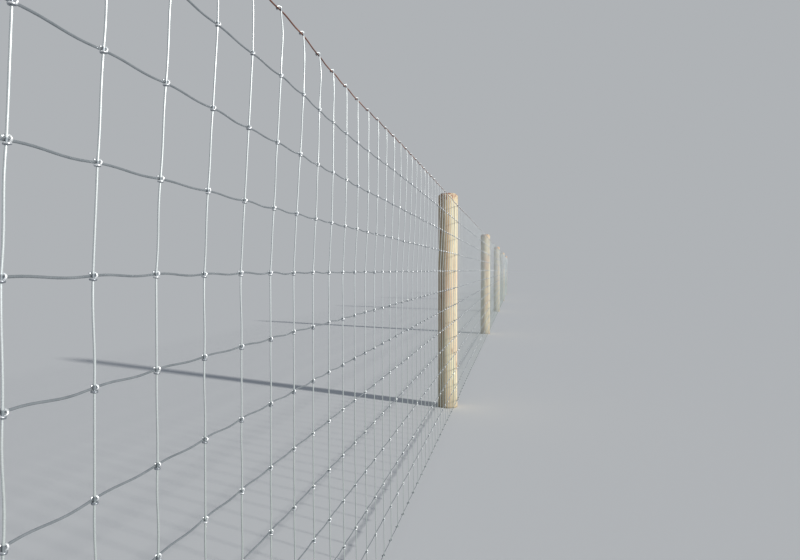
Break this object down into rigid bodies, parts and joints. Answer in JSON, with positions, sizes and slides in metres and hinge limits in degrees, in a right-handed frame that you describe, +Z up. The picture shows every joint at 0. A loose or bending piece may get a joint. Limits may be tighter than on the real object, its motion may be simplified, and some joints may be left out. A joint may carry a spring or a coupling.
{
  "type": "post and wire fence",
  "caption": "Run of stock fence: square woven wire mesh with a rust-red top wire, fixed to one side of round timber posts.",
  "frame": {"origin": "centre of the first post's foot, at ground level", "axes": "+X along the fence, +Z up, -Y the side that the wire mesh is on"},
  "size_m": [22.985, 0.1306, 1.3502],
  "materials": {
    "post_wood": "peeled round softwood, matt",
    "zinc_wire": "galvanised, semi-bright",
    "coated_wire": "coated wire, satin",
    "staple": "galvanised fencing staple"
  },
  "bodies": {
    "root": {"post_1": "post_wood", "post_2": "post_wood", "post_3": "post_wood", "post_4": "post_wood", "post_5": "post_wood", "post_6": "post_wood", "mesh_bay_1": "zinc_wire", "mesh_bay_2": "zinc_wire", "mesh_bay_3": "zinc_wire", "mesh_bay_4": "zinc_wire", "mesh_bay_5": "zinc_wire", "line_wire_2": "zinc_wire", "line_wire_3": "zinc_wire", "line_wire_4": "zinc_wire", "line_wire_5": "zinc_wire", "line_wire_6": "zinc_wire", "line_wire_7": "zinc_wire", "line_wire_8": "zinc_wire", "line_wire_9": "zinc_wire", "line_wire_10": "zinc_wire", "line_wire_11": "zinc_wire", "top_wire": "coated_wire"}
  },
  "joints": []
}
